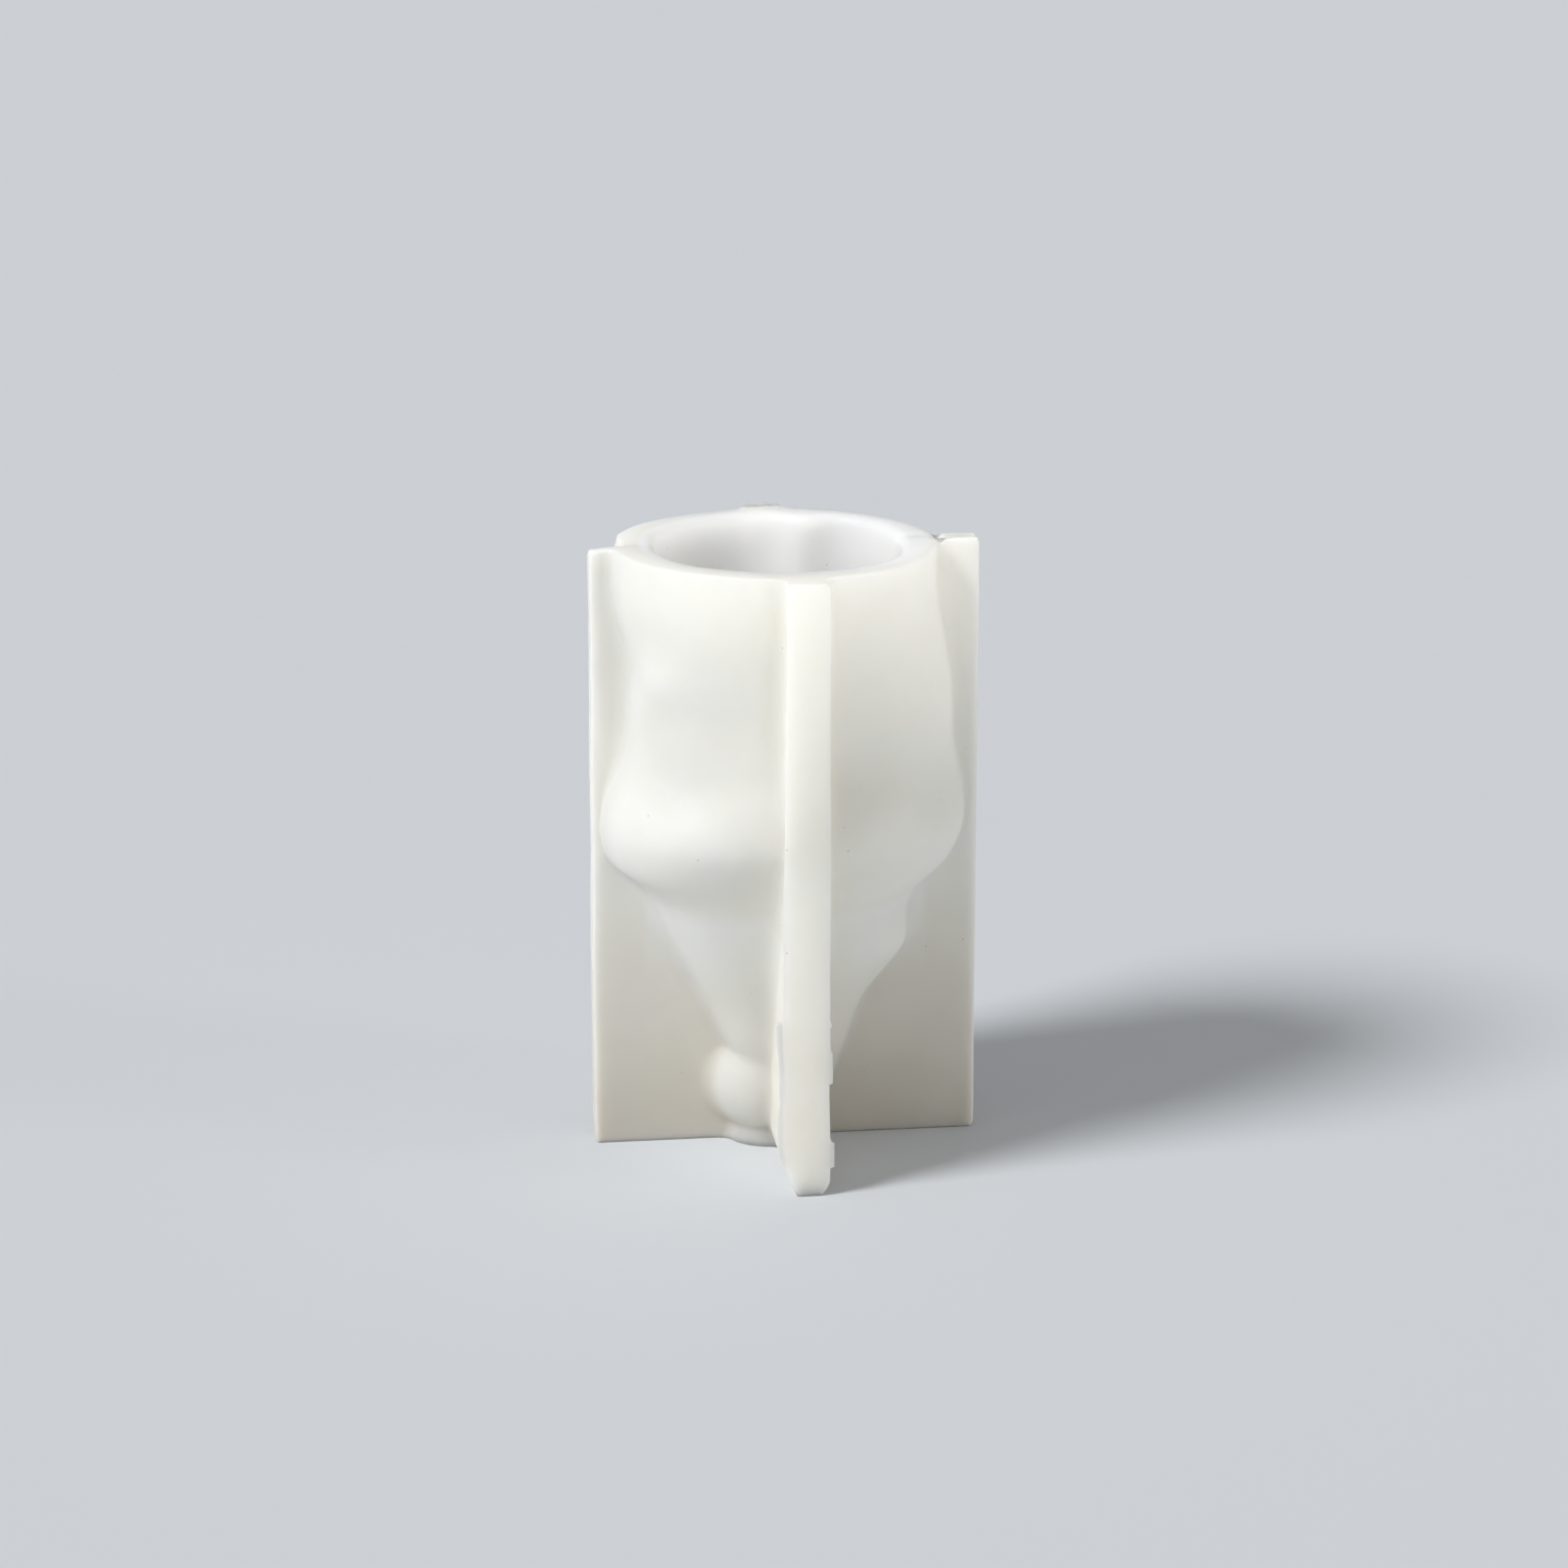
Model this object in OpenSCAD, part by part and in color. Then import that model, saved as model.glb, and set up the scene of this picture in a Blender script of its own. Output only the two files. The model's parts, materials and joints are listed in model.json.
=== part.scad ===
// Slit silicone casting mould for a small standing figure, cast upside down.
// The pouring mouth is on top, four fins keep the mould upright, and a slit through
// the left fin, the shell and most of the right fin lets the front half swing open
// on the uncut skin along the right fin's outer edge.
// Millimetres, +Z up. The origin is on the bench, midway between opposite fins.
// -Y is the front, +X is the side that stays joined.

/* [Overall] */
// Width across the left and right fins
width = 63; // [60:1:70]
// Depth across the front and rear fins
depth = 62; // [60:1:70]
// Height from the bench to the pouring rim
height = 100; // [92:1:120]

/* [Shell] */
// Wall of the shell, square to its surface
wall = 4.6; // [3.5:0.1:5]
// How much wider the mouth is than planned on every side
mouth_growth = 0; // [0:0.1:1]
// How far the mouth's inner edge is rolled back
lip_round = 1.6; // [0.8:0.2:2.4]
// Height of the ridge inside the rear wall, under the mouth
ridge_height = 2.4; // [0:0.2:3]

/* [Tip] */
// Outer radius of the ball at the tip of the figure's hat
ball_r = 8.7; // [8:0.1:9.4]
// Radius of the round hollow inside that ball
ball_hollow_r = 5.4; // [4.5:0.1:5.6]
// Radius of the foot pad on the bench
pad_r = 8.1; // [7.5:0.1:9]
// Height at which the shell passes into the cup round that ball
cup_top = 17; // [16:0.5:18]

/* [Fins] */
// Thickness of the front and rear fins
main_fin_t = 7; // [6:0.5:8]
// Thickness of the left and right fins, both leaves together
side_fin_t = 4.6; // [4:0.2:6]
// Radius of the fins' outer corners
fin_corner_r = 1.2; // [0.6:0.2:2]
// Thickness of the moulding flash along a fin's outer edge
flash_t = 0.8; // [0.5:0.1:1.2]
// How far the flash stands out from the fin
flash_reach = 1.6; // [0.8:0.2:2]
// How far the rear fin stops below the rim, under its crest of flash
crest_h = 1.1; // [0.8:0.1:1.5]

/* [Slit and hinge] */
// Width of the slit between the front and rear halves
slit_w = 0.2; // [0.1:0.05:0.4]
// Radius of the uncut skin that joins the halves
hinge_r = 1; // [0.8:0.1:1.2]
// Room between the skin and the half that swings
hinge_play = 0.06; // [0.03:0.01:0.1]
// How far the rear half's left end sits below the rim
left_drop = 1.4; // [0.6:0.2:2]

/* [Hidden] */

half_w = width / 2;
half_d = depth / 2;
hinge_x = half_w - hinge_r;         // the hinge line stands at [hinge_x, 0]
pad_h = 3;                          // height of the foot pad, where the ball cup starts
pad_top_r = 6.6;                    // radius of the pad where it meets the cup
pad_at = [-2.3, 0];                 // middle of the foot pad
ball_at = [-3.8, -1.2, 10];         // middle of the ball at the hat's tip
drop_x = -25.9;                     // the rear half's rim drops to the left of this
mouth = [20.7, 18.6, 20.8, 20.9];   // the mouth's reach to the left, right, front and rear
groove = 67;                        // half angle of the groove along the hinge
big = 200;                          // longer than any part of the mould
overlap = 0.01;                     // lets a cut run past the face that it opens

segments = 40;                      // facets round the shell
ring_step = 2.5;                    // height of one facet
squareness = 0.3;                   // how far the body's sections are from plain ovals

// The figure's outer reach from the hinge plane's middle at some levels, with the
// heights as shares of the whole: [level, left, right, front, rear]
reach = [
    [0.00, 4.0, 4.5, 4.0, 4.0],
    [0.08, 5.5, 6.8, 6.0, 6.0],
    [0.16, 9.8, 9.8, 9.6, 9.4],
    [0.25, 13.9, 13.0, 13.5, 13.0],
    [0.33, 18.2, 18.6, 17.6, 17.0],
    [0.41, 22.0, 20.0, 21.0, 20.5],
    [0.44, 23.5, 21.4, 22.3, 21.8],
    [0.47, 26.4, 24.4, 23.7, 23.2],
    [0.49, 29.2, 26.6, 25.6, 25.2],
    [0.53, 30.3, 28.7, 28.6, 27.7],
    [0.56, 30.2, 29.1, 29.2, 28.0],
    [0.60, 29.3, 28.9, 28.2, 27.6],
    [0.68, 26.1, 27.2, 25.6, 26.0],
    [0.79, 25.1, 26.6, 25.6, 25.4],
    [0.92, 27.8, 24.3, 26.9, 25.0],
    [1.00, 27.7, 24.2, 27.0, 24.8]
];

// Soft swellings (+) and hollows (-) of the shell: [bearing, level, half angle, half height, size]
relief = [
    [210, 0.79, 18, 5, 1.1],        // forearm of the figure, front left
    [228, 0.64, 24, 4, -1.5],       // hollow between the forearm and the brim
    [322, 0.61, 20, 7, -1.4],       // hollow of the same kind, front right
    [336, 0.35, 16, 3, 0.7],        // fold of the hat, to the right
    [225, 0.455, 26, 2, -0.6]       // crease under the brim
];

// Smooth curve through the levels of the table, for one of its columns
function slope(i, c) =
    let (a = max(i - 1, 0), b = min(i + 1, len(reach) - 1))
    (reach[b][c] - reach[a][c]) / (reach[b][0] - reach[a][0]);
function span_at(level, i = 0) =
    i >= len(reach) - 2 || level <= reach[i + 1][0] ? i : span_at(level, i + 1);
function reach_at(level, c) =
    let (
        i = span_at(level),
        run = reach[i + 1][0] - reach[i][0],
        t = (level - reach[i][0]) / run
    )
    (2 * t ^ 3 - 3 * t ^ 2 + 1) * reach[i][c] + (t ^ 3 - 2 * t ^ 2 + t) * run * slope(i, c)
    + (3 * t ^ 2 - 2 * t ^ 3) * reach[i + 1][c] + (t ^ 3 - t ^ 2) * run * slope(i + 1, c);

// Radius of a soft-cornered oval towards a bearing; n is 2 for a plain oval
function oval(bearing, left, right, front, rear, n) =
    let (rx = cos(bearing) < 0 ? left : right, ry = sin(bearing) < 0 ? front : rear)
    (abs(cos(bearing) / rx) ^ n + abs(sin(bearing) / ry) ^ n) ^ (-1 / n);

// Radius of the figure without its ball, towards a bearing, at a height
function oval_r(bearing, z) =
    let (t = min(z / height, 1), n = 2 + squareness * (1 - rim_share(z)))
    oval(bearing, reach_at(t, 1), reach_at(t, 2), reach_at(t, 3), reach_at(t, 4), n);
function angle_between(a, b) = abs((a - b + 540) % 360 - 180);
function relief_at(bearing, z) = [
    for (r = relief)
        r[4] * exp(-(angle_between(bearing, r[0]) / r[2]) ^ 2 - ((z - r[1] * height) / r[3]) ^ 2)
];
function sum(v, i = 0) = i == len(v) ? 0 : v[i] + sum(v, i + 1);
function figure_r(bearing, z) = oval_r(bearing, z) + sum(relief_at(bearing, z));

// Radius of the ball's section, towards a bearing, seen from the middle of the mould
function ball_section_r(bearing, z, r) =
    let (
        ring2 = max(r ^ 2 - (z - ball_at[2]) ^ 2, 0),
        along = ball_at[0] * cos(bearing) + ball_at[1] * sin(bearing),
        aside = -ball_at[0] * sin(bearing) + ball_at[1] * cos(bearing),
        inside = ring2 - aside ^ 2
    )
    inside > 0 ? max(along + sqrt(inside), 0) : 0;

// The larger of two radii, with a soft change from one to the other
function soft_max(a, b, blend) =
    let (h = max(blend - abs(a - b), 0))
    max(a, b) + h ^ 2 / (4 * blend);

function shell_r(bearing, z) =
    soft_max(figure_r(bearing, z), ball_section_r(bearing, z, ball_r), 1.2);

// The cavity keeps the wall's thickness square to the surface, so it steps in further
// where the figure's side slopes
function wall_inset(bearing, z) =
    let (rise = (oval_r(bearing, z + 1) - oval_r(bearing, z - 1)) / 2)
    min(wall * sqrt(1 + rise ^ 2), 1.5 * wall);
function lip_at(z) =
    let (t = max(1 - (height - z) / lip_round, 0))
    lip_round * (1 - sqrt(1 - min(t, 1) ^ 2));
function rim_share(z) = min(max(1 - (height - z) / 14, 0), 1);
function mouth_r(bearing) = oval(bearing, mouth[0], mouth[1], mouth[2], mouth[3], 2.3) + mouth_growth;
function ridge_at(bearing, z) =
    ridge_height * exp(-(angle_between(bearing, 74) / 11) ^ 2) * max(min((z - 0.6 * height) / 12, 1), 0);
function cavity_r(bearing, z) =
    let (
        share = rim_share(z),
        inner = max(figure_r(bearing, min(z, height)) - wall_inset(bearing, z), 3.2),
        body = inner * (1 - share) + mouth_r(bearing) * share
    )
    soft_max(body - ridge_at(bearing, z), ball_section_r(bearing, z, ball_hollow_r), 1) + lip_at(z);

// A closed skin through rings of points, one ring for each height
module skin(heights, outer) {
    n = segments;
    m = len(heights);
    points = [
        for (z = heights, k = [0 : n - 1])
            let (bearing = 360 * k / n, r = outer ? shell_r(bearing, z) : cavity_r(bearing, z))
            [r * cos(bearing), r * sin(bearing), z]
    ];
    sides = [
        for (j = [0 : m - 2], k = [0 : n - 1])
            let (a = j * n + k, b = j * n + (k + 1) % n)
            each [[a, a + n, b], [b, a + n, b + n]]
    ];
    bottom = [for (k = [0 : n - 1]) k];
    top = [for (k = [n - 1 : -1 : 0]) (m - 1) * n + k];
    polyhedron(points, concat(sides, [bottom, top]));
}

// Heights of the shell's rings from one level to another
function rings(low, high) =
    let (steps = round((high - low) / ring_step))
    [for (j = [0 : steps]) low + (high - low) * j / steps];
cup_rings = rings(pad_h, cup_top);
body_rings = rings(cup_top, height);

module shell_outside() {
    skin(concat(cup_rings, [for (j = [1 : len(body_rings) - 1]) body_rings[j]]), true);
}

module cavity() {
    floor_z = ball_at[2] - ball_hollow_r + 0.15;
    top_z = height - lip_round;
    steps = round((top_z - floor_z) / ring_step);
    body = [for (j = [0 : steps]) floor_z + (top_z - floor_z) * j / steps];
    lip = [for (t = [0.35, 0.7, 1]) top_z + lip_round * t];
    skin(concat(body, lip, [height + 1]), false);
}

// Joins what it holds into one closed mesh
module as_one_mesh() {
    resize([0, 0, 0]) children();
}

// What lies on one side of the slit: side is 1 for the rear half, -1 for the front half
module half_space(side) {
    translate([-big / 2, side > 0 ? slit_w / 2 : -big - slit_w / 2, -overlap])
        cube([big, big, 2 * height]);
}

// One half of the stretch of shell that has those rings
module shell_half(side, heights) {
    as_one_mesh() difference() {
        intersection() {
            skin(heights, true);
            half_space(side);
        }
        cavity();
        if (side > 0) left_step();
    }
}

// The rear half ends lower at its left slit, as it was moulded
module left_step() {
    translate([-big / 2, -overlap, height - left_drop])
        cube([big / 2 + drop_x, big, big]);
}

// Outline of a fin's face, from the middle of the mould to reach_x, with round outer corners
module fin_outline(reach_x, top) {
    r = fin_corner_r;
    square([reach_x - r, top]);
    translate([0, r]) square([reach_x, top - 2 * r]);
    for (z = [r, top - r]) translate([reach_x - r, z]) circle(r, $fn = 24);
}

// A leaf of a side fin: the outline stood up, with its outer face side_fin_t / 2 off the slit
module leaf(side, reach_x, top) {
    translate([0, side > 0 ? side_fin_t / 2 : -slit_w / 2, 0])
        rotate([90, 0, 0])
            linear_extrude((side_fin_t - slit_w) / 2) fin_outline(reach_x, top);
}

module left_leaf(side) {
    top = side > 0 ? height - left_drop : height;
    difference() {
        as_one_mesh() difference() {
            mirror([1, 0, 0]) leaf(side, half_w, top);
            shell_outside();
        }
        foot_cone();
    }
}

// The right leaves are hollowed to fit round the skin, and bevelled to leave a groove past it
// that lets the front half swing open
module right_leaf(side) {
    fit_r = side > 0 ? hinge_r : hinge_r + hinge_play;
    difference() {
        as_one_mesh() difference() {
            leaf(side, half_w, height);
            shell_outside();
            hinge_groove();
        }
        foot_cone();
        translate([hinge_x, 0, -overlap]) cylinder(r = fit_r, h = 2 * height, $fn = 48);
    }
}

module hinge_groove() {
    r = 2 * side_fin_t;
    translate([hinge_x, 0, -overlap])
        linear_extrude(2 * height)
            polygon([[0, 0], r * [cos(groove), -sin(groove)], [r, 0], r * [cos(groove), sin(groove)]]);
}

// End view of the front and rear fins: the bottom corners are worn back, the top right one is round
module main_fin_profile(top) {
    t = main_fin_t / 2;
    r = fin_corner_r;
    polygon([
        [-t, 5], [-t + 0.5, 1.2], [-t + 1.7, 0], [t - 1.2, 0], [t - 0.4, 1.8], [t, 2.4],
        [t, top - r], [t - 0.3 * r, top - 0.3 * r], [t - r, top], [-t, top]
    ]);
}

module main_fin(side, top) {
    difference() {
        as_one_mesh() difference() {
            translate([0, side > 0 ? half_d : 0, 0])
                rotate([90, 0, 0]) linear_extrude(half_d) main_fin_profile(top);
            shell_outside();
        }
        foot_cone();
    }
}

// The foot pad flares from the ball cup to the bench
module foot_cone() {
    translate([pad_at[0], pad_at[1], -overlap])
        cylinder(r1 = pad_r, r2 = pad_top_r, h = pad_h + overlap, $fn = 64);
}

module foot_half(side) {
    intersection() {
        translate([pad_at[0], pad_at[1], 0]) cylinder(r1 = pad_r, r2 = pad_top_r, h = pad_h, $fn = 64);
        half_space(side);
    }
}

// Flash is a thin ragged sheet flush with the fin's end, along its edges
module flash_sheet(side, outline) {
    translate([0, side > 0 ? half_d : -half_d + flash_t, 0])
        rotate([90, 0, 0]) linear_extrude(flash_t) polygon(outline);
}

/* Parts */

module rear_shell() {
    color("ivory") shell_half(1, body_rings);
}

module front_shell() {
    color("ivory") shell_half(-1, body_rings);
}

module rear_ball_cup() {
    color("linen") shell_half(1, cup_rings);
}

module front_ball_cup() {
    color("linen") shell_half(-1, cup_rings);
}

module rear_fin() {
    color("whitesmoke") main_fin(1, height - crest_h);
}

module front_fin() {
    color("whitesmoke") main_fin(-1, height);
}

module left_fin_rear_leaf() {
    color("gainsboro") left_leaf(1);
}

module left_fin_front_leaf() {
    color("gainsboro") left_leaf(-1);
}

module right_fin_rear_leaf() {
    color("gainsboro") right_leaf(1);
}

module right_fin_front_leaf() {
    color("gainsboro") right_leaf(-1);
}

module rear_foot_pad() {
    color("seashell") foot_half(1);
}

module front_foot_pad() {
    color("seashell") foot_half(-1);
}

module hinge_skin() {
    end = 0.8;
    color("tan")
        translate([hinge_x, 0, end]) cylinder(r = hinge_r, h = height - 2 * end, $fn = 48);
}

module front_fin_flash() {
    t = main_fin_t / 2;
    w = flash_reach;
    color("white") {
        flash_sheet(-1, [
            [-t, 4.9], [-t - 0.6 * w, 6.3], [-t - w, 8.5], [-t - 0.8 * w, 14],
            [-t - 0.8 * w, 19], [-t - w, 25], [-t - w, 29.2], [-t, 29.4]
        ]);
        flash_sheet(-1, [
            [t, 18.8], [t + 0.4 * w, 19], [t + 0.3 * w, 23.8], [t + 0.1 * w, 27.6],
            [t + 0.2 * w, 28.6], [t, 33]
        ]);
        flash_sheet(-1, [[t, 4.6], [t + 0.4 * w, 4.9], [t + 0.4 * w, 8.8], [t, 9.6]]);
    }
}

// A crest on the rear fin: a low sheet with a tab in its middle and a point at either end
module rear_fin_flash() {
    t = main_fin_t / 2 - fin_corner_r;
    low = height - crest_h;
    color("white")
        flash_sheet(1, [
            [-t, low], [t, low], [t + 0.4, height - 0.4 * crest_h], [t - 0.3, low + 0.3 * crest_h],
            [1.1, low + 0.2 * crest_h], [0.9, height], [-0.4, height], [-0.5, low + 0.2 * crest_h],
            [-t + 0.2, low + 0.25 * crest_h], [-t - 0.3, height - 0.35 * crest_h]
        ]);
}

rear_shell();
rear_ball_cup();
rear_fin();
left_fin_rear_leaf();
right_fin_rear_leaf();
rear_foot_pad();
rear_fin_flash();
hinge_skin();
front_shell();
front_ball_cup();
front_fin();
left_fin_front_leaf();
right_fin_front_leaf();
front_foot_pad();
front_fin_flash();
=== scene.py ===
"""Slit silicone casting mould for a small figure, standing upside down on four fins.

Each half is one closed skin: rings of points run from the middle of the underside, up the outside
round the fins, over the rim and down the cavity, and the slit's plane then cuts the skin in two.
Shape sizes are in millimetres, in the frame's own axes, and become metres as each mesh is made.
"""
import json
import math

import bmesh
import bpy
import numpy as np
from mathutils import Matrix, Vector, noise


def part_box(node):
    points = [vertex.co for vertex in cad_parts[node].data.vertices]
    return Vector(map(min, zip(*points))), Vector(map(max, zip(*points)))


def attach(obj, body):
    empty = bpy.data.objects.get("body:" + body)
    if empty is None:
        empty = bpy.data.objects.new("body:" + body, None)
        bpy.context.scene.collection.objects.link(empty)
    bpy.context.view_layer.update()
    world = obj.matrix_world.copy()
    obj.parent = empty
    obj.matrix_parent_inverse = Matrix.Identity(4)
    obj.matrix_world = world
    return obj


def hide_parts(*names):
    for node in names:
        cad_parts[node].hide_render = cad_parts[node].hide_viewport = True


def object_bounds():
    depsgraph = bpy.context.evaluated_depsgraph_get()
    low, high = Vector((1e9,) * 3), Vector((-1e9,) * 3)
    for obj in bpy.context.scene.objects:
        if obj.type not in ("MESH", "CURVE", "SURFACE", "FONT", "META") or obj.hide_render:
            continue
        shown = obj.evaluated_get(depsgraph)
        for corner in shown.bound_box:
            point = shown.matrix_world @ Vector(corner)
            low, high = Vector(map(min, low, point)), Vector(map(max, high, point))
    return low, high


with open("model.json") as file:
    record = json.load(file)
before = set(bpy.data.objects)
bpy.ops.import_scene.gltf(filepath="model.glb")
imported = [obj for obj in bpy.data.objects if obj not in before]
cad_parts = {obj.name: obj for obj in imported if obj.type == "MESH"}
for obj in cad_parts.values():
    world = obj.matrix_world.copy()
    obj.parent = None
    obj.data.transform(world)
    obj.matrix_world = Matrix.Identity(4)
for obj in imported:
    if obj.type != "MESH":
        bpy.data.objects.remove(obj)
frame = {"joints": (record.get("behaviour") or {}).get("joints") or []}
cad_low, cad_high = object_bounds()

MM = 0.001
HALF_W = cad_high.x / MM
HALF_D = cad_high.y / MM
HEIGHT = cad_high.z / MM
HINGE_X = frame["joints"][0]["pos_m"][0] / MM


def size_of(node, axis):
    """Width of a CAD node along one axis, in millimetres."""
    low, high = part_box(node)
    return (high[axis] - low[axis]) / MM


# ---------------------------------------------------------------- shape of the figure

MAIN_T = size_of("front_fin", 0) / 2
SIDE_T = size_of("left_fin_front_leaf", 1)
PAD_R = size_of("front_foot_pad", 0) / 2
PAD_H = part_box("front_foot_pad")[1].z / MM
PAD_AT = np.array([-2.3, 0.0])
PAD_TOP_R = 6.5
BALL_AT = np.array([-3.8, -1.2, 10.0])
BALL_R = 8.7
BALL_HOLLOW_R = 5.4
CAVITY_FLOOR = BALL_AT[2] - BALL_HOLLOW_R
WALL = 4.6
MOUTH = (20.4, 18.6, 20.5, 20.9)    # the mouth's reach to the left, right, front and rear
LIP = 1.6                # radius of the rolled inner edge of the mouth
SQUARENESS = 0.3         # added to the ellipse's power of 2, but not at the rim
MOUTH_POWER = 2.3        # the mouth's outline lies between an ellipse and a square
RIM_ZONE = 14            # the cavity takes the mouth's shape over this depth
BALL_BLEND, PAD_BLEND = 1.2, 0.6
RIDGE_BEARING, RIDGE_HALF_ANGLE, RIDGE_SIZE = 74, 11, 2.6
SLIT = 0.04              # each half stops this far from the middle plane at the left end
HINGE_GAP = 0.01         # and this far from it at the hinge
GROOVE = 67              # half angle, in degrees, of the groove along the hinge
LEFT_DROP = 1.4          # the rear half's left end sits this far below the rim
DROP_X = -25.9

# The figure's outer reach at some levels: level, left, right, front, rear
REACH = np.array([
    (0.00, 4.0, 4.5, 4.0, 4.0),
    (0.08, 5.5, 6.8, 6.0, 6.0),
    (0.16, 9.8, 9.8, 9.6, 9.4),
    (0.25, 13.9, 13.0, 13.5, 13.0),
    (0.33, 18.2, 18.6, 17.6, 17.0),
    (0.41, 22.0, 20.0, 21.4, 20.5),
    (0.44, 23.5, 21.4, 22.8, 21.8),
    (0.47, 26.4, 24.4, 24.2, 23.2),
    (0.49, 29.2, 26.6, 25.2, 25.2),
    (0.53, 30.3, 28.7, 27.6, 27.7),
    (0.56, 30.2, 29.1, 28.8, 28.0),
    (0.60, 29.3, 28.9, 28.2, 27.6),
    (0.68, 26.1, 27.2, 25.6, 26.0),
    (0.79, 25.1, 26.6, 25.6, 25.4),
    (0.92, 27.8, 24.3, 26.9, 25.0),
    (1.00, 27.7, 24.2, 27.0, 24.8),
])

# Soft swellings (+) and hollows (-): bearing, level, half angle, half height, size
RELIEF = (
    (216, 0.81, 13, 4, 1.7),         # forearm of the figure, front left
    (203, 0.76, 14, 4, 0.9),         # its elbow
    (242, 0.74, 13, 6, -0.8),        # hollow beside the forearm
    (225, 0.645, 22, 5, -1.8),       # hollow between the forearm and the brim
    (328, 0.60, 16, 7, -1.7),        # hollow of the same kind, front right
    (290, 0.78, 14, 14, -0.6),       # dip beside the front fin
    (336, 0.35, 16, 3, 0.7),         # fold of the hat, to the right
)


def reach_at(level, column):
    """Smooth curve through one column of REACH."""
    x, y = REACH[:, 0], REACH[:, column]
    ahead = np.minimum(np.arange(len(x)) + 1, len(x) - 1)
    behind = np.maximum(np.arange(len(x)) - 1, 0)
    slope = (y[ahead] - y[behind]) / (x[ahead] - x[behind])
    i = np.clip(np.searchsorted(x, level) - 1, 0, len(x) - 2)
    run = x[i + 1] - x[i]
    t = (level - x[i]) / run
    return ((2 * t**3 - 3 * t**2 + 1) * y[i] + (t**3 - 2 * t**2 + t) * run * slope[i]
            + (3 * t**2 - 2 * t**3) * y[i + 1] + (t**3 - t**2) * run * slope[i + 1])


def rim_share(z):
    """1 at the rim, falling to 0 at the bottom of the rim's zone."""
    return np.clip(1 - (HEIGHT - z) / RIM_ZONE, 0, None)


def oval_r(bearing, z):
    """Radius of the figure without relief or ball. bearing is in radians."""
    level = np.clip(z / HEIGHT, 0, 1)
    c, s = np.cos(bearing), np.sin(bearing)
    rx = np.where(c < 0, reach_at(level, 1), reach_at(level, 2))
    ry = np.where(s < 0, reach_at(level, 3), reach_at(level, 4))
    n = 2 + SQUARENESS * (1 - rim_share(z))
    return (np.abs(c / rx) ** n + np.abs(s / ry) ** n) ** (-1 / n)


def angle_between(a, b):
    return np.abs((a - b + 3 * np.pi) % (2 * np.pi) - np.pi)


def figure_r(bearing, z):
    r = oval_r(bearing, z)
    for at, level, spread, tall, size in RELIEF:
        aside = angle_between(bearing, math.radians(at)) / math.radians(spread)
        r = r + size * np.exp(-aside**2 - ((z - level * HEIGHT) / tall) ** 2)
    return r


def circle_r(bearing, centre, radius):
    """Reach of an off-centre circle towards a bearing, seen from the middle of the mould."""
    along = centre[0] * np.cos(bearing) + centre[1] * np.sin(bearing)
    aside = -centre[0] * np.sin(bearing) + centre[1] * np.cos(bearing)
    inside = radius**2 - aside**2
    return np.where(inside > 0, np.clip(along + np.sqrt(np.clip(inside, 0, None)), 0, None), 0)


def ball_section(z, radius):
    return np.sqrt(np.clip(radius**2 - (z - BALL_AT[2]) ** 2, 0, None))


def soft_max(a, b, blend):
    h = np.clip(blend - np.abs(a - b), 0, None)
    return np.maximum(a, b) + h**2 / (4 * blend)


def pad_section(z):
    """Radius of the foot pad: it flares towards the bench."""
    t = np.clip(1 - z / (PAD_H + 0.6), 0, 1)
    return np.where(t > 0, PAD_TOP_R + (PAD_R - PAD_TOP_R) * t**1.5, 0)


def shell_r(bearing, z):
    """Outer radius of the mould between its fins."""
    ball = circle_r(bearing, BALL_AT[:2], ball_section(z, BALL_R))
    r = soft_max(figure_r(bearing, z), ball, BALL_BLEND)
    pad = circle_r(bearing, PAD_AT, pad_section(z))
    return np.where(pad > 0, soft_max(r, pad, PAD_BLEND), r)


def ridge_at(bearing, z):
    """Upright ridge inside the rear wall."""
    fade = np.clip((z - 0.6 * HEIGHT) / 12, 0, 1)
    aside = angle_between(bearing, math.radians(RIDGE_BEARING)) / math.radians(RIDGE_HALF_ANGLE)
    return RIDGE_SIZE * np.exp(-aside**2) * fade


def mouth_r(bearing):
    c, s = np.cos(bearing), np.sin(bearing)
    rx = np.where(c < 0, MOUTH[0], MOUTH[1])
    ry = np.where(s < 0, MOUTH[2], MOUTH[3])
    total = np.abs(c / rx) ** MOUTH_POWER + np.abs(s / ry) ** MOUTH_POWER
    return total ** (-1 / MOUTH_POWER)


def cavity_r(bearing, z):
    rise = (oval_r(bearing, z + 1) - oval_r(bearing, z - 1)) / 2
    body = figure_r(bearing, z) - np.minimum(WALL * np.sqrt(1 + rise**2), 1.5 * WALL)
    share = np.clip(rim_share(z), 0, 1)
    return body * (1 - share) + mouth_r(bearing) * share - ridge_at(bearing, z)


# ---------------------------------------------------------------- sections with fins

END_STEPS, CORNER_STEPS, SIDE_STEPS, FILLET_STEPS, ARC_STEPS = 4, 4, 12, 7, 44
CORNER = 0.45            # rounding of a fin's upright edges
FILLET = 2.6             # where a fin meets the shell; it is fuller under the brim
FLASH_T = 0.8            # thickness of the flash beside the front fin's end
FLASH_CLEAR = 0.05       # from the flash to where the fin's plain side starts
SHARP = 0.12             # rounding left on an edge that carries flash
FULLER = 1.4             # what the fillet gains under the brim, between these heights
FULL_FROM, FULL_TO, FULL_FADE = 18, 48, 8
FIRST_ANGLE, ANGLE_ROUNDS = 0.2, 12     # the search for where a fin's side meets the shell

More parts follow.
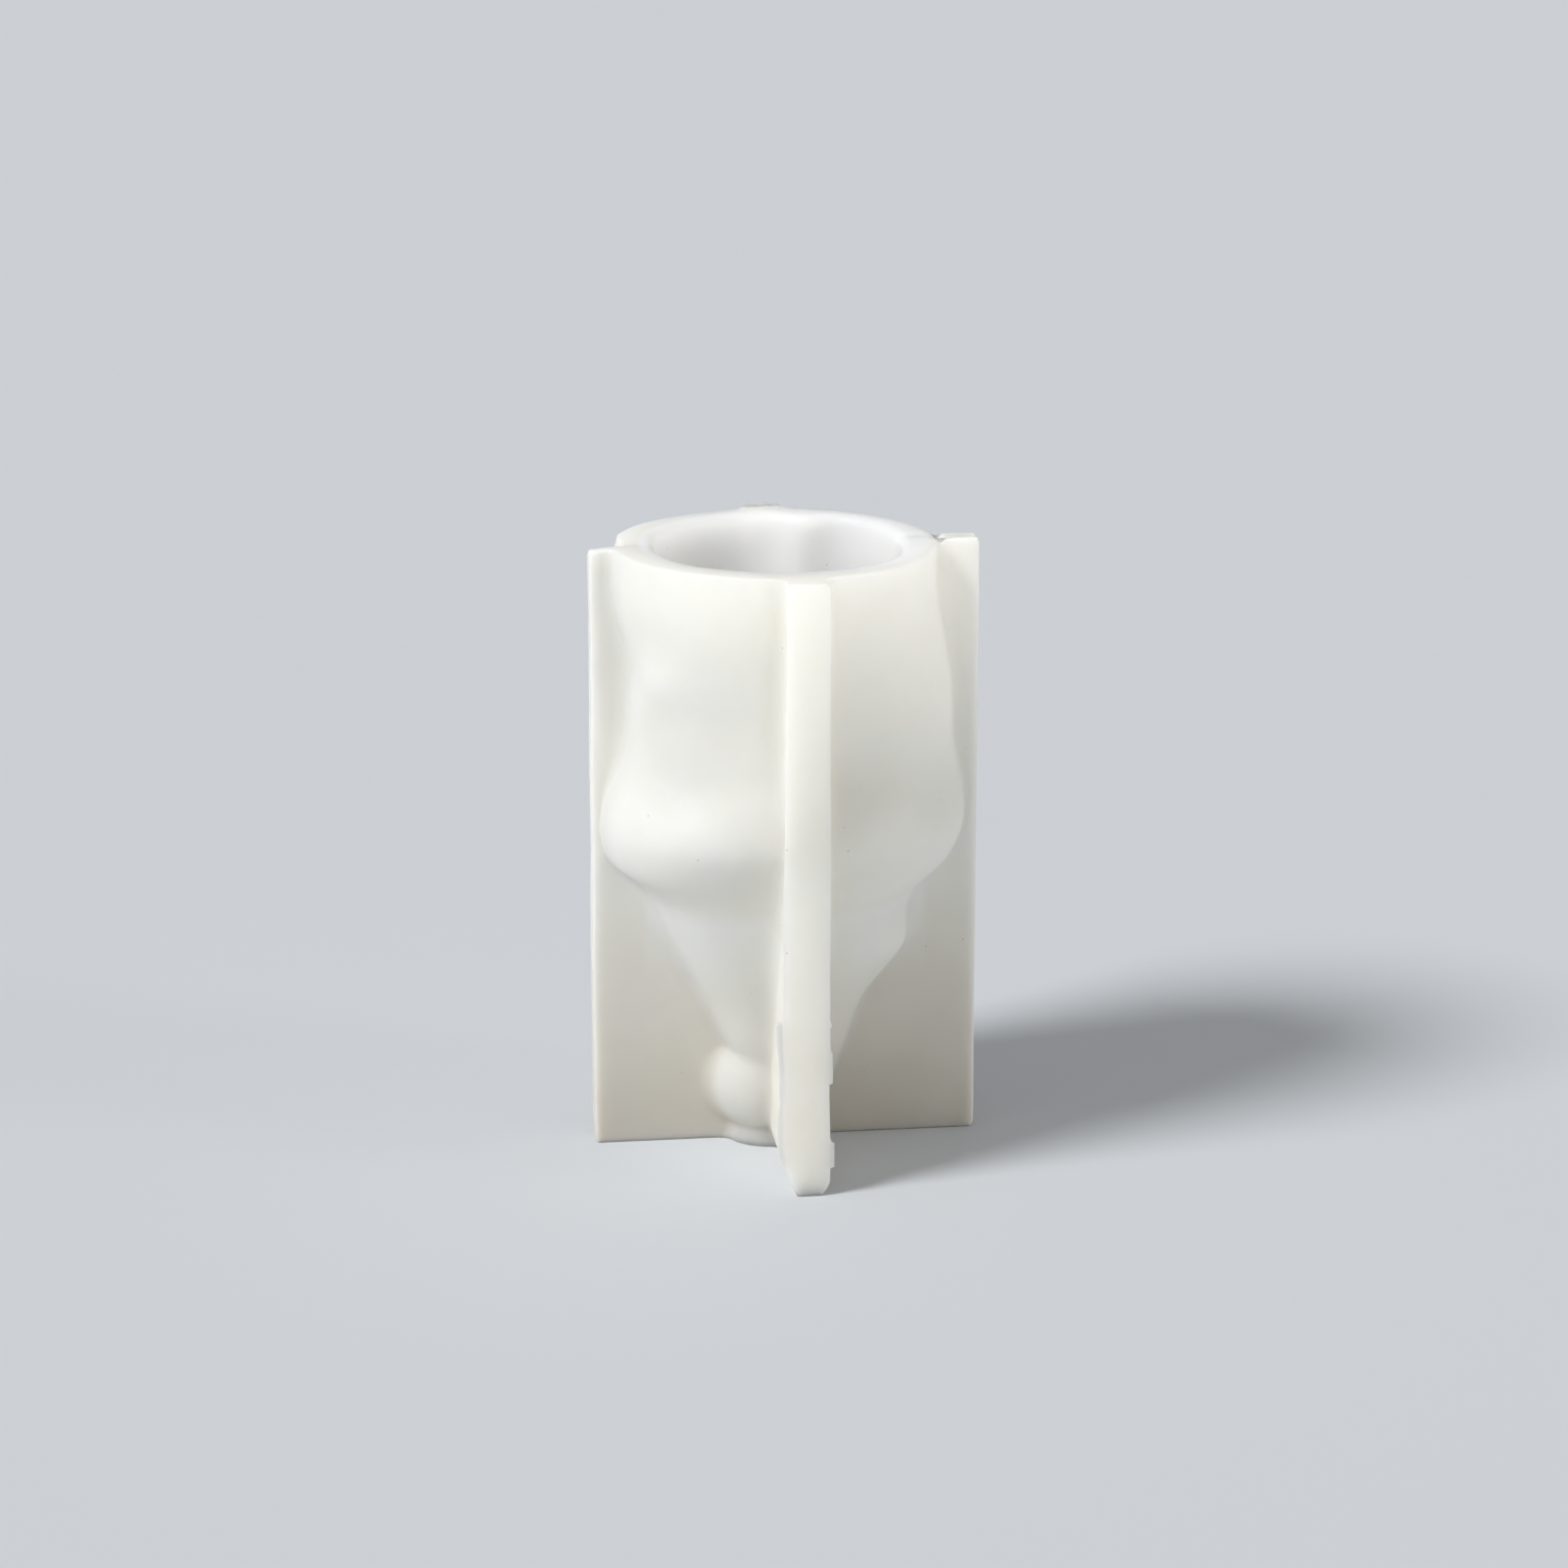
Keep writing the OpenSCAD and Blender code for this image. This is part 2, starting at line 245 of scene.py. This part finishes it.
# How far the flash stands out on the front fin's left and right: height, width
FLASH_LEFT = np.array([
    (4.2, 0.0), (5.0, 0.3), (6.3, 1.0), (7.9, 1.5), (10.4, 1.65), (13.7, 1.5), (16.0, 1.2),
    (18.6, 1.35), (21.3, 1.35), (24.4, 1.5), (26.0, 1.75), (29.2, 1.8), (29.5, 0.9), (30.2, 0.65),
    (37, 0.6), (44, 0.65), (52, 0.5), (60, 0.3), (72, 0.12), (80, 0)
])
FLASH_RIGHT = np.array([
    (4.6, 0.0), (4.85, 0.6), (8.75, 0.62), (8.95, 0.2), (9.6, 0.0), (18.6, 0.0), (18.8, 0.5),
    (21.0, 0.5), (23.9, 0.4), (24.1, 0.15), (27.7, 0.05), (28.5, 0.3), (29.2, 0.05), (33, 0.0)
])


def rounded_end(z, top, bottom):
    """How far a fin's end steps back near its top and bottom corners, of those radii."""
    back = 0.0
    for near, r in ((HEIGHT - z, top), (z, bottom)):
        if near < r:
            back = max(back, r - math.sqrt(max(r**2 - (r - near) ** 2, 0)))
    return back


def worn(z, height, deep):
    """Wear that eats into a fin's lower edge."""
    return deep * max(1 - z / height, 0) ** 1.6


def no_flash(z):
    return 0.0


class Fin:
    """One fin: its bearing, its reach, and half its thickness on either side, at a height."""

    def __init__(self, bearing, reach, halves, top, bottom, flash=(no_flash, no_flash)):
        self.bearing = math.radians(bearing)
        self.out = np.array([math.cos(self.bearing), math.sin(self.bearing)])
        self.across = np.array([-self.out[1], self.out[0]])
        self.reach, self.top, self.bottom = reach, top, bottom
        self.halves, self.flash = halves, flash      # the anticlockwise side comes first

    def half(self, z, side):
        """Points from the middle of the fin's end to where the shell starts, on one side."""
        t = self.halves[side < 0](z)
        flash = self.flash[side < 0](z)
        reach = self.reach - rounded_end(z, self.top, self.bottom)
        angle = FIRST_ANGLE
        for _ in range(ANGLE_ROUNDS):
            r = float(shell_r(self.bearing + side * angle, z))
            angle = math.asin(min(t / r, 0.9))
        root = r * math.cos(angle)
        room = max(reach - FLASH_T - FLASH_CLEAR - root, 0.3)
        full = np.clip((FULL_TO - z) / FULL_FADE, 0, 1)
        full *= np.clip((z - FULL_FROM) / FULL_FADE, 0, 1)
        fillet = min(FILLET + FULLER * full, 0.7 * room, 0.2 * r)
        c = CORNER - (CORNER - SHARP) * min(flash / 0.3, 1)
        points = [(reach, s) for s in np.linspace(0, t + flash - c, END_STEPS, endpoint=False)]
        for k in range(CORNER_STEPS + 1):
            a = math.pi / 2 * k / CORNER_STEPS
            points.append((reach - c + c * math.cos(a), t + flash - c + c * math.sin(a)))
        for back, share in ((0.75, 0.97), (0.95, 0.8), (1, 0.4)):
            points.append((reach - back * FLASH_T, t + share * flash))
        start = min(reach - FLASH_T - FLASH_CLEAR, reach - 0.5 * room)
        for d in np.linspace(start, root + fillet, SIDE_STEPS, endpoint=False):
            points.append((d, t))
        past = angle + fillet / r
        r_past = float(shell_r(self.bearing + side * past, z))
        a, b = np.array([root + fillet, t]), np.array([root, t])
        end = r_past * np.array([math.cos(past), math.sin(past)])
        for k in range(FILLET_STEPS):
            u = k / FILLET_STEPS
            points.append(tuple((1 - u) ** 2 * a + 2 * u * (1 - u) * b + u**2 * end))
        flat = np.array(points)
        return flat[:, :1] * self.out + side * flat[:, 1:] * self.across, past


def corner_cut(z, top_r):
    """How far a fin's side steps in under a round top edge of that radius."""
    near = HEIGHT - z
    return top_r - math.sqrt(max(top_r**2 - (top_r - near) ** 2, 0)) if near < top_r else 0


def side_half(z):
    return SIDE_T


FINS = (
    Fin(0, HALF_W, (side_half, side_half), 1.0, 1.3),
    Fin(90, HALF_D,
        (lambda z: MAIN_T - worn(z, 3, 0.7), lambda z: MAIN_T - worn(z, 4, 1.2)), 0.6, 0.5),
    Fin(180, HALF_W, (side_half, side_half), 0.35, 0.9),
    Fin(270, HALF_D, (lambda z: MAIN_T - 0.1 - worn(z, 2.4, 1.3) - corner_cut(z, 1.3),
                      lambda z: MAIN_T - worn(z, 5, 1.7)), 0.6, 0.4,
        (lambda z: np.interp(z, *FLASH_RIGHT.T), lambda z: np.interp(z, *FLASH_LEFT.T))),
)


def section(z):
    """One ring of points round the mould at a height, anticlockwise from the right fin's end."""
    ring = []
    for q in range(4):
        here, there = FINS[q], FINS[(q + 1) % 4]
        first, start = here.half(z, 1)
        last, stop = there.half(z, -1)
        bearings = np.linspace(here.bearing + start, here.bearing + math.pi / 2 - stop, ARC_STEPS)
        r = shell_r(bearings, z)
        arc = np.stack([r * np.cos(bearings), r * np.sin(bearings)], 1)
        ring += [first, arc, last[:0:-1]]
    return np.concatenate(ring)


def stepped_in(ring, by):
    """The ring moved towards its inside, square to its own line."""
    along = np.roll(ring, -1, 0) - np.roll(ring, 1, 0)
    along /= np.linalg.norm(along, axis=1, keepdims=True)
    return ring + by * np.stack([-along[:, 1], along[:, 0]], 1)


# ---------------------------------------------------------------- the closed skin

EDGE = 0.4               # rounding where the fins' sides meet their tops and the underside
FINE_Z, FINE_STEP, COARSE_STEP = 22, 0.5, 1.0
TOP_BAND, TOP_STEPS = 3, 10
RIM_RINGS = 24
CAVITY_STEP, NECK_STEP, BALL_STEP = 1.2, 0.6, 0.4
NECK_Z, NECK_END_Z = 18.0, 12      # between these heights the cavity narrows to the neck
NECK_R, NECK_STOP_Z = 3.9, 11      # below the second height only the ball's hollow is left


def levels():
    low = np.arange(EDGE, FINE_Z, FINE_STEP)
    high = np.arange(FINE_Z, HEIGHT - TOP_BAND, COARSE_STEP)
    top = np.linspace(HEIGHT - TOP_BAND, HEIGHT - EDGE, TOP_STEPS)
    return np.unique(np.concatenate([low, high, top, FLASH_LEFT[:, 0], FLASH_RIGHT[:, 0]]).round(3))


def at_height(ring, z):
    return np.column_stack([ring, np.full(len(ring), z)])


def quarter(steps):
    return [math.pi / 2 * k / steps for k in range(1, steps + 1)]


def outside_rings():
    """From the middle of the underside, round its edge and up to the rim's outer edge."""
    base = section(EDGE)
    rings = [at_height(stepped_in(base, EDGE) * share, 0) for share in (0.05, 0.3, 0.6, 0.85, 1)]
    for a in quarter(3):
        ring = stepped_in(base, EDGE * (1 - math.sin(a)))
        rings.append(at_height(ring, EDGE * (1 - math.cos(a))))
    rings += [at_height(section(z), z) for z in levels()[1:]]
    top = section(HEIGHT - EDGE)
    for a in quarter(4):
        ring = stepped_in(top, EDGE * (1 - math.cos(a)))
        rings.append(at_height(ring, HEIGHT - EDGE + EDGE * math.sin(a)))
    return rings


def inside_rings(outer):
    """From the rim's outer edge over the lip and down to the hollow in the hat's ball."""
    bearing = np.arctan2(outer[:, 1], outer[:, 0])
    ray = np.stack([np.cos(bearing), np.sin(bearing)], 1)
    mouth = cavity_r(bearing, HEIGHT - LIP)[:, None] * ray
    lip_edge = mouth + LIP * ray
    rings = [at_height(outer[:, :2] * (1 - u) + lip_edge * u, HEIGHT)
             for u in np.linspace(0, 1, RIM_RINGS + 1)[1:]]
    for a in quarter(7):
        ring = mouth + LIP * (1 - math.sin(a)) * ray
        rings.append(at_height(ring, HEIGHT - LIP + LIP * math.cos(a)))
    for z in np.arange(HEIGHT - LIP - 1, NECK_Z, -CAVITY_STEP):
        rings.append(at_height(cavity_r(bearing, z)[:, None] * ray, z))
    neck = cavity_r(bearing, NECK_Z)
    narrowing = np.arange(NECK_Z - NECK_STEP, NECK_END_Z, -NECK_STEP)
    for z in np.concatenate([narrowing, np.arange(NECK_END_Z, CAVITY_FLOOR + 0.1, -BALL_STEP)]):
        share = np.clip((NECK_Z - z) / (NECK_Z - NECK_END_Z), 0, 1)
        share = share**2 * (3 - 2 * share)
        narrow = neck * (1 - share) + NECK_R * share
        r = np.maximum(narrow * (z > NECK_STOP_Z), ball_section(z, BALL_HOLLOW_R))
        rings.append(at_height(r[:, None] * ray + BALL_AT[:2] * share, z))
    return rings


def wavering(points, size, scale, seed):
    """A gentle random shift of each point, the same on every run."""
    offset = Vector((seed * 7.3, seed * 3.1, seed * 5.7))
    return np.array([noise.noise_vector(Vector(p) / scale + offset) for p in points]) * size


def settle(points):
    """The small ways in which the moulding strays from its ideal shape."""
    x, y, z = points.T
    moved = points.copy()
    high = np.clip((z - (HEIGHT - 10)) / 10, 0, 1) ** 2
    drop = LEFT_DROP * np.clip((DROP_X - x) / 0.5, 0, 1) * (y > 0)
    droop = 0.35 * np.clip((-x - 27) / 4.5, 0, 1) * (y <= 0)
    rear = 1.1 * np.clip((y - 26) / 1.2, 0, 1)
    notch = 0.9 * np.exp(-((x - 25.0) / 0.5) ** 2) * np.clip((3.5 - np.abs(y)) / 1.5, 0, 1)
    moved[:, 2] -= high * (notch + drop + droop + rear)
    off_bench = np.clip(z / 6, 0.0, 1)[:, None]
    moved += wavering(points, 0.22, 16, 1) * off_bench
    moved += wavering(points, 0.07, 4, 2) * off_bench
    return moved


def whole_skin():
    """Points and faces of both halves together."""
    outside = outside_rings()
    rings = outside + inside_rings(outside[-1])
    n, m = len(rings[0]), len(rings)
    points = np.concatenate(rings)
    faces = []
    k = np.arange(n)
    for j in range(m - 1):
        a, b = j * n + k, j * n + (k + 1) % n
        faces += np.stack([a, b, b + n, a + n], 1).tolist()
    first, last = len(points), len(points) + 1
    poles = [(0, 0, 0), (BALL_AT[0], BALL_AT[1], CAVITY_FLOOR)]
    faces += [[first, (i + 1) % n, i] for i in range(n)]
    faces += [[last, (m - 1) * n + i, (m - 1) * n + (i + 1) % n] for i in range(n)]
    return settle(np.concatenate([points, poles])), faces


def placed(name, mesh, material):
    mesh.materials.append(material)
    piece = bpy.data.objects.new(name, mesh)
    bpy.context.scene.collection.objects.link(piece)
    return piece


def slice_off(bm, point, normal):
    """Cuts away what lies past a plane and closes the skin with a flat face."""
    cut = bmesh.ops.bisect_plane(bm, geom=bm.verts[:] + bm.edges[:] + bm.faces[:], dist=1e-7,
                                 plane_co=point, plane_no=normal, clear_outer=True)
    rim = [e for e in cut["geom_cut"] if isinstance(e, bmesh.types.BMEdge) and e.is_boundary]
    caps = bmesh.ops.edgeloop_fill(bm, edges=rim)["faces"]
    for face in caps:
        face.smooth = False
    for edge in rim:
        edge.smooth = False
    bmesh.ops.triangulate(bm, faces=caps, ngon_method="EAR_CLIP")


def half_skin(name, side, points, faces, material):
    """The part of the skin on one side of the slit, closed with flat faces. side is -1 in front."""
    mesh = bpy.data.meshes.new(name)
    mesh.from_pydata((points * MM).tolist(), [], faces)
    bm = bmesh.new()
    bm.from_mesh(mesh)
    for face in bm.faces:
        face.smooth = True
    taper = (SLIT - HINGE_GAP) / (2 * HALF_W)
    slice_off(bm, (HINGE_X * MM, side * HINGE_GAP * MM, 0), (-taper, -side, 0))
    slope = math.radians(GROOVE)
    apex = (HINGE_X - 2 * HINGE_GAP) * MM
    slice_off(bm, (apex, 0, 0), (math.sin(slope), -side * math.cos(slope), 0))
    bmesh.ops.recalc_face_normals(bm, faces=bm.faces[:])
    bm.to_mesh(mesh)
    bm.free()
    return placed(name, mesh, material)


# ---------------------------------------------------------------- flash and the hinge

BEAD_RINGS, BEAD_SIDES = 90, 24
BEAD_END = 0.8           # the bead stops this far from the mould's top and underside
BEAD_PLAY = 0.05


def as_piece(name, bm, material):
    for face in bm.faces:
        face.smooth = True
    mesh = bpy.data.meshes.new(name)
    bm.to_mesh(mesh)
    bm.free()
    return placed(name, mesh, material)


def sheet(name, outline, low, high, material, round_by):
    """A thin ragged sheet: an outline of (x, z), low and high in y, its edges softened."""
    bm = bmesh.new()
    back = [bm.verts.new((x * MM, low * MM, z * MM)) for x, z in outline]
    front = [bm.verts.new((x * MM, high * MM, z * MM)) for x, z in outline]
    bm.faces.new(back)
    bm.faces.new(front[::-1])
    for k in range(len(outline)):
        j = (k + 1) % len(outline)
        bm.faces.new((back[j], back[k], front[k], front[j]))
    bmesh.ops.recalc_face_normals(bm, faces=bm.faces[:])
    bmesh.ops.bevel(bm, geom=bm.edges[:], offset=round_by * MM, segments=2, affect="EDGES",
                    profile=0.5, clamp_overlap=True)
    return as_piece(name, bm, material)


def hinge_bead(material):
    """The uncut skin in the groove along the right fin's outer edge: a thin uneven bead."""
    bead_r = HALF_W - HINGE_X - BEAD_PLAY
    zs = np.linspace(BEAD_END, HEIGHT - BEAD_END, BEAD_RINGS)
    bm = bmesh.new()
    rows = []
    for k, z in enumerate(zs):
        r = bead_r * (0.35 if k in (0, len(zs) - 1) else 0.8 if k in (1, len(zs) - 2) else 1)
        r *= 1 - 0.06 * noise.noise(Vector((0.3, 0.7, z / 5)))
        rows.append([bm.verts.new(((HINGE_X + r * math.cos(a)) * MM, r * math.sin(a) * MM, z * MM))
                     for a in np.linspace(0, 2 * math.pi, BEAD_SIDES, endpoint=False)])
    for low, high in zip(rows, rows[1:]):
        for k in range(BEAD_SIDES):
            j = (k + 1) % BEAD_SIDES
            bm.faces.new((low[k], low[j], high[j], high[k]))
    bm.faces.new(rows[0][::-1])
    bm.faces.new(rows[-1])
    bmesh.ops.recalc_face_normals(bm, faces=bm.faces[:])
    return as_piece("hinge_bead", bm, material)


# ---------------------------------------------------------------- silicone

BODY_DARK, BODY_LIGHT = (0.890, 0.855, 0.755, 1), (0.908, 0.880, 0.790, 1)
LEAF = (0.900, 0.876, 0.805, 1)          # the thin side fins
# Painted shade: the silicone is painted greyer towards the foot, where the lower parts fall in
# shade.
FOOT_SHADE_PAINT = (0.63, 0.593, 0.528, 1)        # greyer towards the foot
# Painted light: the cavity's walls are painted near white, standing in for light let in through the
# thin walls.
CAVITY_PAINTED_LIGHT = (0.99, 0.986, 0.966, 1)
DUST = (0.45, 0.43, 0.40, 1)
LEAF_BAND = (0.002, 0.006)               # distances from the slit, in metres: a leaf, the body

def silicone(name):
    """Translucent white casting silicone: satin, faintly mottled, with a little dust, painted shade
    towards the foot and painted light in the cavity.
    """
    material = bpy.data.materials.new(name)
    material.use_nodes = True
    nodes, links = material.node_tree.nodes, material.node_tree.links
    shader = nodes["Principled BSDF"]
    shader.inputs["Subsurface Weight"].default_value = 1.0
    shader.inputs["Subsurface Radius"].default_value = (1.0, 0.95, 0.88)
    shader.inputs["IOR"].default_value = 1.41
    shader.subsurface_method = "RANDOM_WALK"
    where = nodes.new("ShaderNodeTexCoord")

    def noise_node(scale, detail):
        node = nodes.new("ShaderNodeTexNoise")
        node.inputs["Scale"].default_value = scale
        node.inputs["Detail"].default_value = detail
        links.new(where.outputs["Object"], node.inputs["Vector"])
        return node

    def ramp(source, low, high, start, end):
        node = nodes.new("ShaderNodeMapRange")
        node.inputs["From Min"].default_value = low
        node.inputs["From Max"].default_value = high
        node.inputs["To Min"].default_value = start
        node.inputs["To Max"].default_value = end
        links.new(source, node.inputs["Value"])
        return node.outputs["Result"]

    def times(first, second):
        node = nodes.new("ShaderNodeMath")
        node.operation = "MULTIPLY"
        links.new(first, node.inputs[0])
        links.new(second, node.inputs[1])
        return node.outputs["Value"]

    def mix(factor, first, second):
        node = nodes.new("ShaderNodeMix")
        node.data_type = "RGBA"
        links.new(factor, node.inputs["Factor"])
        for socket, value in ((node.inputs["A"], first), (node.inputs["B"], second)):
            if isinstance(value, tuple):
                socket.default_value = value
            else:
                links.new(value, socket)
        return node.outputs["Result"]

    place = nodes.new("ShaderNodeSeparateXYZ")
    links.new(where.outputs["Object"], place.inputs["Vector"])
    from_slit = nodes.new("ShaderNodeMath")
    from_slit.operation = "ABSOLUTE"
    links.new(place.outputs["Y"], from_slit.inputs[0])
    aside = from_slit.outputs["Value"]
    links.new(times(ramp(aside, *LEAF_BAND, 0.0035, 0.016), ramp(aside, 0.0003, 0.0014, 0.2, 1)),
              shader.inputs["Subsurface Scale"])

    mottle = noise_node(90, 3)
    cloudy = ramp(mottle.outputs["Fac"], 0.35, 0.65, 0, 1)
    body = mix(cloudy, BODY_DARK, BODY_LIGHT)
    body = mix(ramp(aside, *LEAF_BAND, 1, 0), body, LEAF)
    # Painted shade: darker towards the foot with a ragged upper edge, strongest on the side fins
    # and weakest at the front fin's end.
    drift = noise_node(60, 2)
    level = nodes.new("ShaderNodeMath")
    level.operation = "MULTIPLY_ADD"
    level.inputs[1].default_value = 0.02
    links.new(drift.outputs["Fac"], level.inputs[0])
    links.new(place.outputs["Z"], level.inputs[2])
    low_down = ramp(level.outputs["Value"], 0.012, 0.058, 1, 0)
    behind = ramp(place.outputs["Y"], -0.027, -0.016, 0.5, 1)
    leaf = ramp(aside, *LEAF_BAND, 1, 0.6)
    body = mix(times(times(low_down, behind), leaf), body, FOOT_SHADE_PAINT)
    out = nodes.new("ShaderNodeVectorMath")
    out.operation = "LENGTH"
    flat = nodes.new("ShaderNodeCombineXYZ")
    links.new(place.outputs["X"], flat.inputs["X"])
    links.new(place.outputs["Y"], flat.inputs["Y"])
    links.new(flat.outputs["Vector"], out.inputs[0])
    # Painted light: within about 23 mm of the axis the colour turns near white, more so higher up;
    # this is mostly the cavity's walls, and also the hat's cone outside at mid height.
    within = ramp(out.outputs["Value"], 0.0225, 0.0238, 1, 0)
    upper = ramp(place.outputs["Z"], 0.025, 0.085, 0, 1)
    body = mix(times(within, upper), body, CAVITY_PAINTED_LIGHT)
    dots = nodes.new("ShaderNodeTexVoronoi")
    dots.inputs["Scale"].default_value = 300
    links.new(where.outputs["Object"], dots.inputs["Vector"])
    near = ramp(dots.outputs["Distance"], 0.02, 0.055, 0.8, 0)
    chance = nodes.new("ShaderNodeSeparateColor")
    links.new(dots.outputs["Color"], chance.inputs["Color"])
    rare = ramp(chance.outputs["Red"], 0.76, 0.77, 0, 1)
    dusty = mix(times(near, rare), body, DUST)
    links.new(dusty, shader.inputs["Base Color"])
    sheen = noise_node(260, 4)
    links.new(ramp(sheen.outputs["Fac"], 0.3, 0.7, 0.50, 0.64), shader.inputs["Roughness"])
    grain = noise_node(900, 5)
    bump = nodes.new("ShaderNodeBump")
    bump.inputs["Strength"].default_value = 0.12
    bump.inputs["Distance"].default_value = 0.0002
    links.new(grain.outputs["Fac"], bump.inputs["Height"])
    links.new(bump.outputs["Normal"], shader.inputs["Normal"])
    return material


# ---------------------------------------------------------------- building the pieces

def on_body(piece, body, *nodes):
    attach(piece, body)
    if nodes:
        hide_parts(*nodes)


def build_halves(material):
    points, faces = whole_skin()
    front = half_skin("front_half_skin", -1, points, faces, material)
    on_body(front, "front_half", "front_shell", "front_ball_cup", "front_fin", "front_fin_flash",
            "left_fin_front_leaf", "right_fin_front_leaf", "front_foot_pad")
    rear = half_skin("rear_half_skin", 1, points, faces, material)
    on_body(rear, "rear_half", "rear_shell", "rear_ball_cup", "rear_fin", "left_fin_rear_leaf",
            "right_fin_rear_leaf", "rear_foot_pad")


def build_hinge(material):
    on_body(hinge_bead(material), "rear_half", "hinge_skin")


def build_rear_flash(material):
    t, end, top = MAIN_T, HALF_D, HEIGHT - 1.1
    crest = sheet("rear_flash_crest", [
        (-t + 0.5, top - 0.6), (t - 0.5, top - 0.6), (t - 0.45, top + 0.3), (2.85, top + 1.0),
        (2.3, top + 0.6), (1.2, top + 0.52), (1.0, top + 1.05), (0.4, top + 0.92),
        (-0.3, top + 1.05), (-0.5, top + 0.5), (-2.0, top + 0.6), (-2.85, top + 1.05),
        (-t + 0.45, top + 0.35)
    ], end - 1.5, end - 0.8, material, 0.08)
    on_body(crest, "rear_half", "rear_fin_flash")


# ---------------------------------------------------------------- stage, light and camera

FLOOR = (0.638, 0.667, 0.704, 1)
SENSOR = 36
CAMERA_D, CAMERA_H = 0.7118, 0.2605
CAMERA_TURN, CAMERA_PITCH = math.radians(7.35), math.radians(15.76)
FOCAL = 4651.8 / 1600    # focal length over the width of the picture
STRIP_AT = (0.16, -0.28, 0.125)


def build_stage():
    bpy.ops.mesh.primitive_plane_add(size=14, location=(0, 0, 0))
    floor = bpy.context.object
    floor.name = "bench"
    material = bpy.data.materials.new("bench_paint")
    material.use_nodes = True
    shader = material.node_tree.nodes["Principled BSDF"]
    shader.inputs["Base Color"].default_value = FLOOR
    shader.inputs["Roughness"].default_value = 0.9
    shader.inputs["Specular IOR Level"].default_value = 0.0
    floor.data.materials.append(material)


def hang(name, kind, energy, towards, colour=(1.0, 1.0, 1.0), at=(0, 0, 0)):
    """A lamp that shines from a direction."""
    data = bpy.data.lights.new(name, kind)
    data.energy, data.color = energy, colour
    lamp = bpy.data.objects.new(name, data)
    lamp.location = at
    lamp.rotation_mode = "QUATERNION"
    lamp.rotation_quaternion = Vector(towards).to_track_quat("Z", "Y")
    bpy.context.scene.collection.objects.link(lamp)
    return data


def build_light():
    world = bpy.data.worlds.new("studio")
    bpy.context.scene.world = world
    world.use_nodes = True
    sky = world.node_tree.nodes["Background"]
    sky.inputs["Color"].default_value = (1.0, 1.0, 1.0, 1)
    sky.inputs["Strength"].default_value = 0.38
    hang("key", "SUN", 2.48, (-0.678, -0.274, 0.682)).angle = math.radians(18)
    strip = hang("strip", "AREA", 0.0068, (0.16, -0.28, 0.02), (1.0, 0.97, 0.90), STRIP_AT)
    strip.shape = "RECTANGLE"
    strip.size, strip.size_y = 0.12, 0.03
    strip.spread = math.radians(16)
    side = hang("side", "SUN", 0.46, (0.895, -0.417, 0.156), (1.0, 0.965, 0.89))
    side.angle = math.radians(16)


def build_camera():
    data = bpy.data.cameras.new("camera")
    data.sensor_width = SENSOR
    data.lens = SENSOR * FOCAL
    data.clip_start, data.clip_end = 0.05, 30
    camera = bpy.data.objects.new("camera", data)
    camera.location = (-CAMERA_D * math.sin(CAMERA_TURN), -CAMERA_D * math.cos(CAMERA_TURN),
                       CAMERA_H)
    camera.rotation_euler = (math.pi / 2 - CAMERA_PITCH, 0, -CAMERA_TURN)
    bpy.context.scene.collection.objects.link(camera)
    bpy.context.scene.camera = camera


white = silicone("casting_silicone")
build_halves(white)
build_rear_flash(white)
build_hinge(white)
build_stage()
build_light()
build_camera()
bpy.context.scene.view_settings.view_transform = "Standard"
